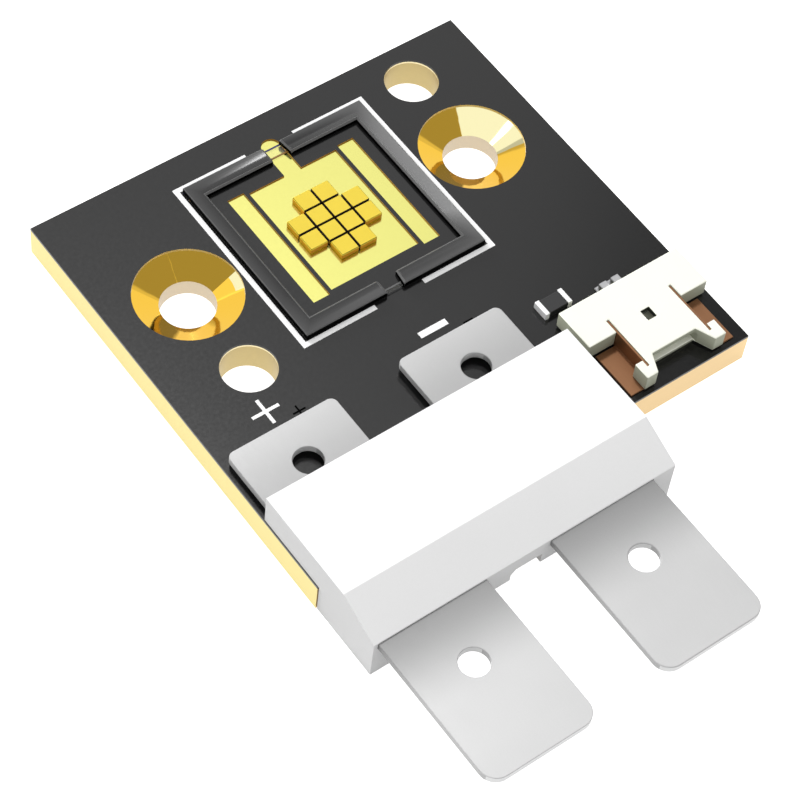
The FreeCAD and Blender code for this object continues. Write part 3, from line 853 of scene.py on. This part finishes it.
# Blades: dull tin-plated strip with fine lengthwise grain, with painted shade beside the block, a painted
# highlight on the end faces and painted shade on the long side faces
bladeLook = {
    "colour": (0.53, 0.53, 0.53),
    # painted highlight on the end faces and painted shade on the long side faces
    "endEdge": (0.74, 0.74, 0.74),
    "sideEdge": (0.46, 0.46, 0.46),
    "streaks": ((26.0, 1.6, 26.0), 0.07),
    "grain": (16.0, 0.25, 0.09),
    "roughness": 0.45,
    "spread": 0.04,
    "metallic": 0.25,
    "bump": (0.12, 0.004),
    # painted shade on the blades, darkest beside the block's front and lifting behind it
    "frontShade": (0.52, -17.8, -22.5),  # tone beside the block, then the stretch of Y where it fades (mm)
    "rearShade": (0.32, -8.6, -4.75),  # tone regained behind the block, and where
}


def makeBladeFinish():
    material, tree, shader = newFinish("tinBlade", bladeLook)
    rolled = streaked(tree, bladeLook)
    grain = grained(tree, bladeLook)
    faces = useGroup(tree, facing)
    along = makeNode(tree, "ShaderNodeSeparateXYZ", {0: inMillimetres(tree)}).outputs["Y"]
    # painted shade: the tone is lowest beside the block and rises along Y away from it
    dull, start, end = bladeLook["frontShade"]
    front = ranged(tree, along, dull, 1.0, start, end, "SMOOTHSTEP")
    regained, start, end = bladeLook["rearShade"]
    blockShade = calculated(tree, "ADD", front, ranged(tree, along, 0.0, regained, start, end))
    # painted highlight on the end faces, painted shade on the long side faces
    edges = blended(tree, faces.outputs["Across"], bladeLook["endEdge"], bladeLook["sideEdge"])
    plain = blended(tree, faces.outputs["Side"], bladeLook["colour"], edges)
    plain = toned(tree, toned(tree, plain, rolled.outputs["Tone"]), grain.outputs["Tone"])
    # painted shade near the block multiplies the colour
    tree.links.new(toned(tree, plain, blockShade), shader.inputs["Base Color"])
    roughened(tree, shader, rolled.outputs["Height"], bladeLook)
    bumped(tree, shader, rolled.outputs["Height"], bladeLook)
    return material


dress(makeBladeFinish(), "blade_left", "blade_right")


# Solder beds under the blades: bright but uneven
solderLook = {
    "colour": (0.5, 0.5, 0.51),
    "grain": (3.0, 0.8, 0.12),
    "roughness": 0.34,
    "metallic": 0.9,
    "bump": (0.5, 0.02),
}
dress(oneToneFinish("solderBed", solderLook), "solder_left", "solder_right")


# Terminal block: white nylon with a fine moulded grain, its walls greyer as painted shade
blockLook = {
    "colour": (0.92, 0.92, 0.92),
    # painted shade: the walls are greyer than the tops
    "side": (0.77, 0.77, 0.77),
    "grain": (9.0, 0.2, 0.035),
    "roughness": 0.6,
    "specular": 0.3,
    "bump": (0.25, 0.01),
}


def makeBlockFinish():
    material, tree, shader = newFinish("whiteNylon", blockLook)
    grain = grained(tree, blockLook)
    faces = useGroup(tree, facing)
    # painted shade on the walls
    plain = blended(tree, faces.outputs["Side"], blockLook["colour"], blockLook["side"])
    tree.links.new(toned(tree, plain, grain.outputs["Tone"]), shader.inputs["Base Color"])
    bumped(tree, shader, grain.outputs["Height"], blockLook)
    return material


dress(makeBlockFinish(), "terminal_block")
print("printed marks, blades and block finished")


# Sensor header: ivory nylon with its walls greyer as painted shade and its window painted dark as painted
# shade, warm copper tabs and tinned contacts
headerLook = {
    "colour": (0.9, 0.91, 0.8),
    # painted shade: the walls are darker and greener than the tops
    "side": (0.4, 0.415, 0.32),
    "grain": (12.0, 0.5, 0.04),
    "roughness": 0.5,
    "specular": 0.4,
    "bump": (0.15, 0.006),
    # painted shade: the inside of the window, a recess, is near black
    "windowShade": (0.03, 0.034, 0.024),
    "window": ((9.7, -9.76, 2.6), (0.3, 0.355, 0.58)),  # middle and half size (mm)
}
tabLook = {
    "colour": (0.26, 0.122, 0.056),
    "streaks": ((20.0, 2.0, 20.0), 0.12),
    "roughness": 0.4,
    "metallic": 0.7,
    "bump": (0.15, 0.004),
}
contactLook = {
    "colour": (0.4, 0.4, 0.41),
    "streaks": ((20.0, 2.0, 20.0), 0.12),
    "roughness": 0.35,
    "metallic": 0.8,
    "bump": (0.15, 0.004),
}


def makeHeaderFinish():
    material, tree, shader = newFinish("ivoryNylon", headerLook)
    grain = grained(tree, headerLook)
    faces = useGroup(tree, facing)
    window = inRegion(tree, *headerLook["window"])
    # painted shade on the walls
    plain = blended(tree, faces.outputs["Side"], headerLook["colour"], headerLook["side"])
    # painted shade inside the window
    plain = blended(tree, window, plain, headerLook["windowShade"])
    tree.links.new(toned(tree, plain, grain.outputs["Tone"]), shader.inputs["Base Color"])
    bumped(tree, shader, grain.outputs["Height"], headerLook)
    return material


dress(makeHeaderFinish(), "connector_housing")
dress(oneToneFinish("copperTab", tabLook), "connector_tab_left", "connector_tab_right")
dress(oneToneFinish("tinContact", contactLook), "connector_contact_left", "connector_contact_right")


# Chip thermistor: dark ceramic between bright tinned caps
sensorLook = {
    "body": {"colour": (0.012, 0.012, 0.013), "grain": (9.0, 2.0, 0.1),
             "roughness": 0.3, "bump": (0.2, 0.006)},
    "cap": {"colour": (0.85, 0.85, 0.85), "grain": (9.0, 2.0, 0.1),
            "roughness": 0.4, "metallic": 0.2, "bump": (0.2, 0.004)},
}
dress(oneToneFinish("sensorCeramic", sensorLook["body"]), "thermistor_body")
dress(oneToneFinish("sensorCap", sensorLook["cap"]), "thermistor_cap_left", "thermistor_cap_right")
print("header and thermistor finished")
